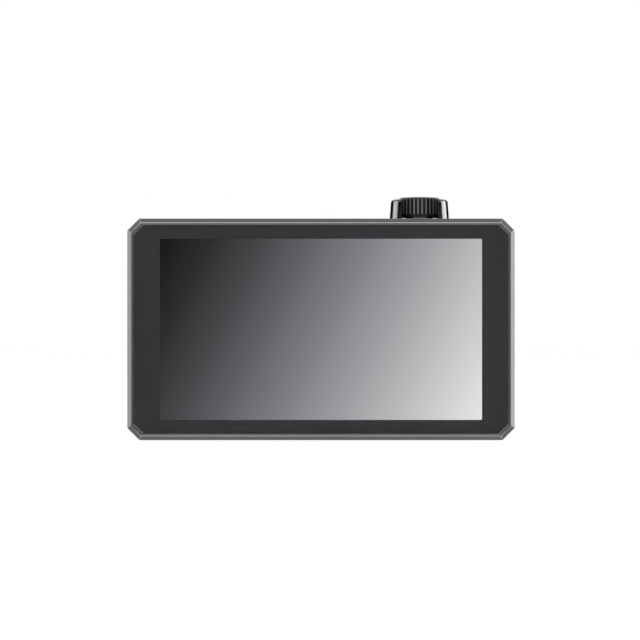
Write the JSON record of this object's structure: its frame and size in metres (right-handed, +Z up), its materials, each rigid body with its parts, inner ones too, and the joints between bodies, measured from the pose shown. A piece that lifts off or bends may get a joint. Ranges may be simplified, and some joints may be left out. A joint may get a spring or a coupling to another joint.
{
  "type": "camera field monitor",
  "caption": "Thin cut-cornered camera monitor with a flat glass front, top keys, a guarded menu dial, side ports, three mounting threads and a rear battery bay.",
  "frame": {"origin": "centre of the mouth of the bottom 1/4-20 thread, on the flat underside", "axes": "+Z up through the top thread, +X to the right seen from the front, +Y to the back; the screen faces -Y"},
  "size_m": [0.16, 0.0273, 0.1005],
  "materials": {
    "housing_metal": "satin dark grey anodised aluminium, finely blasted",
    "frame_metal": "satin dark grey anodised aluminium with bright machined bevel",
    "cover_glass": "flat clear cover glass with a black printed border",
    "black_foam": "black foam tape",
    "lcd_cell": "dark polarised screen cell",
    "backlight_tray": "pressed steel tray",
    "amber_film": "amber polyimide film",
    "bare_aluminium": "plain sheet aluminium",
    "black_aluminium": "black anodised, matt",
    "circuit_board": "green solder mask on glass fibre",
    "switch_black": "moulded black plastic",
    "key_black": "dark grey moulded plastic, satin",
    "key_red": "bright red moulded plastic",
    "lamp_green": "clear pin lit green",
    "encoder_metal": "zinc die casting and turned steel",
    "nickel": "nickel plated",
    "guard_metal": "polished dark chrome",
    "dial_black": "black anodised, knurled",
    "socket_black": "black moulded insulator",
    "chrome": "bright plated, turned",
    "white_insulator": "white fluoropolymer",
    "gold": "gold plated",
    "thread_steel": "plain bright steel sleeve",
    "bay_black": "black moulded plastic, lightly textured",
    "fan_black": "black moulded plastic",
    "screen_black": "fine black woven screen",
    "black_screw": "black oxide steel"
  },
  "bodies": {
    "root": {"front_frame": "frame_metal", "rear_housing": "housing_metal", "cover_glass": "cover_glass", "glass_adhesive": "black_foam", "lcd_panel": "lcd_cell", "backlight_unit": "backlight_tray", "panel_flex": "amber_film", "heat_spreader": "bare_aluminium", "main_board": "circuit_board", "chip_heatsink": "black_aluminium", "key_board": "circuit_board", "dial_board": "circuit_board", "power_board": "circuit_board", "tact_switches": "switch_black", "status_light_pipe": "lamp_green", "encoder_body": "encoder_metal", "encoder_nut": "nickel", "dial_guard": "guard_metal", "video_in_shell": "nickel", "video_in_tongue": "socket_black", "video_out_shell": "nickel", "video_out_tongue": "socket_black", "type_c_shell": "nickel", "type_c_tongue": "socket_black", "headphone_jack": "socket_black", "bnc_in": "chrome", "bnc_out": "chrome", "bnc_insulators": "white_insulator", "bnc_contacts": "gold", "bnc_nuts": "nickel", "dc_in": "chrome", "dc_out": "chrome", "dc_pins": "nickel", "dc_nuts": "nickel", "top_thread": "thread_steel", "bottom_thread": "thread_steel", "side_thread": "thread_steel", "battery_plate": "bay_black", "latch_spring": "nickel", "battery_contacts": "gold", "fan_cover": "bay_black", "fan_frame": "fan_black", "vent_screen": "screen_black", "housing_screws": "black_screw", "plate_screws": "black_screw", "fan_screws": "black_screw", "board_screws": "nickel"},
    "f1_key": {"f1_button": "key_black"},
    "f2_key": {"f2_button": "key_black"},
    "f3_key": {"f3_button": "key_black"},
    "mode_key": {"mode_exit_button": "key_black"},
    "power_key": {"power_button": "key_red"},
    "dial_switch": {"encoder_slider": "switch_black"},
    "dial": {"encoder_shaft": "encoder_metal", "menu_dial": "dial_black"},
    "latch": {"battery_latch": "bay_black"},
    "fan": {"fan_rotor": "fan_black"}
  },
  "joints": [
    {"name": "f1_press", "type": "slide", "parent": "root", "child": "f1_key", "axis": [0, 0, -1], "range_m": [0, 0.0004], "stiffness_N_per_m": 2000, "springref_m": -0.0004},
    {"name": "f2_press", "type": "slide", "parent": "root", "child": "f2_key", "axis": [0, 0, -1], "range_m": [0, 0.0004], "stiffness_N_per_m": 2000, "springref_m": -0.0004},
    {"name": "f3_press", "type": "slide", "parent": "root", "child": "f3_key", "axis": [0, 0, -1], "range_m": [0, 0.0004], "stiffness_N_per_m": 2000, "springref_m": -0.0004},
    {"name": "mode_press", "type": "slide", "parent": "root", "child": "mode_key", "axis": [0, 0, -1], "range_m": [0, 0.0004], "stiffness_N_per_m": 2000, "springref_m": -0.0004},
    {"name": "power_press", "type": "slide", "parent": "root", "child": "power_key", "axis": [-1, 0, 0], "range_m": [0, 0.0004], "stiffness_N_per_m": 2000, "springref_m": -0.0004},
    {"name": "menu_press", "type": "slide", "parent": "root", "child": "dial_switch", "axis": [0, 0, -1], "range_m": [0, 0.0005], "stiffness_N_per_m": 3000, "springref_m": -0.0005},
    {"name": "menu_turn", "type": "hinge", "parent": "dial_switch", "child": "dial", "pos_m": [0.041, 0.002, 0.0915], "axis": [0, 0, 1], "continuous": true},
    {"name": "latch_press", "type": "slide", "parent": "root", "child": "latch", "axis": [0, -1, 0], "range_m": [0, 0.0017], "stiffness_N_per_m": 600, "springref_m": -0.001},
    {"name": "fan_spin", "type": "hinge", "parent": "root", "child": "fan", "pos_m": [-0.0454, 0.01, 0.04375], "axis": [0, 1, 0], "continuous": true}
  ]
}
